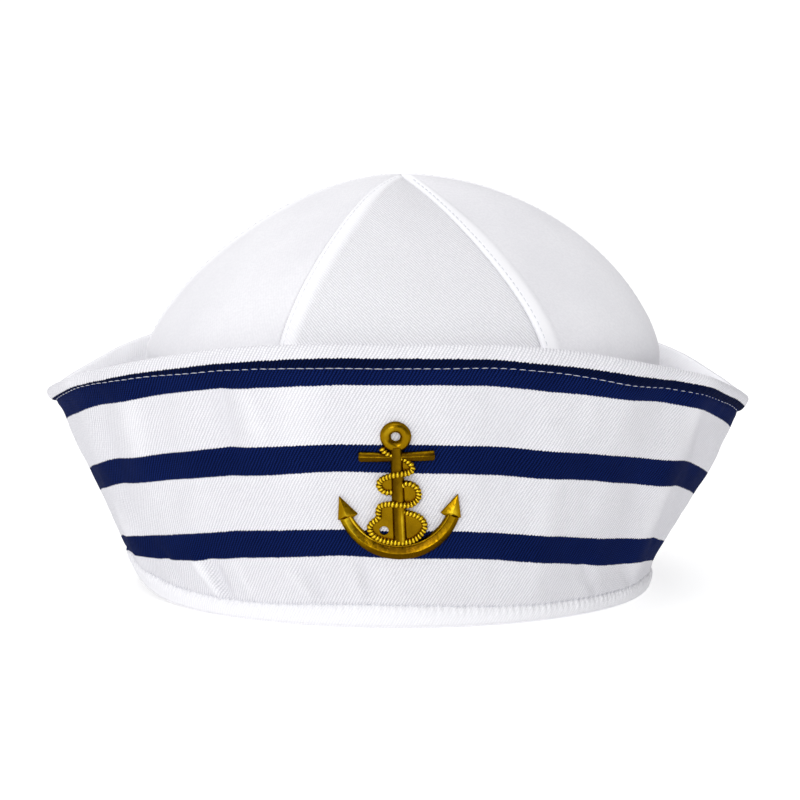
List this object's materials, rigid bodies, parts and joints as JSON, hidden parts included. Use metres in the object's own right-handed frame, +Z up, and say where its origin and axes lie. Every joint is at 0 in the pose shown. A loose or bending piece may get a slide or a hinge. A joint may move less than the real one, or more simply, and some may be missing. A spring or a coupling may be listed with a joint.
{
  "type": "sailor cap",
  "caption": "White cotton sailor cap with a panelled dome crown, a high turned-up brim flared at the sides, and a brass anchor badge at the front.",
  "frame": {"origin": "centre of the brim's round foot, on the surface that the cap rests on", "axes": "+Z up to the top of the crown, -Y the front with the badge, +X the wearer's left, along the longest side from tip to tip of the brim"},
  "size_m": [0.2514, 0.2155, 0.1469],
  "materials": {
    "crown_cloth": "white cotton twill, matte",
    "brim_cloth": "white cotton twill with three woven navy stripes, matte",
    "badge_metal": "stamped yellow brass, satin, darker in its hollows",
    "pin_metal": "plain steel"
  },
  "bodies": {
    "root": {"crown_panel_1": "crown_cloth", "crown_panel_2": "crown_cloth", "crown_panel_3": "crown_cloth", "crown_panel_4": "crown_cloth", "crown_panel_5": "crown_cloth", "crown_panel_6": "crown_cloth", "brim": "brim_cloth", "anchor_badge": "badge_metal", "badge_pin": "pin_metal"}
  },
  "joints": []
}
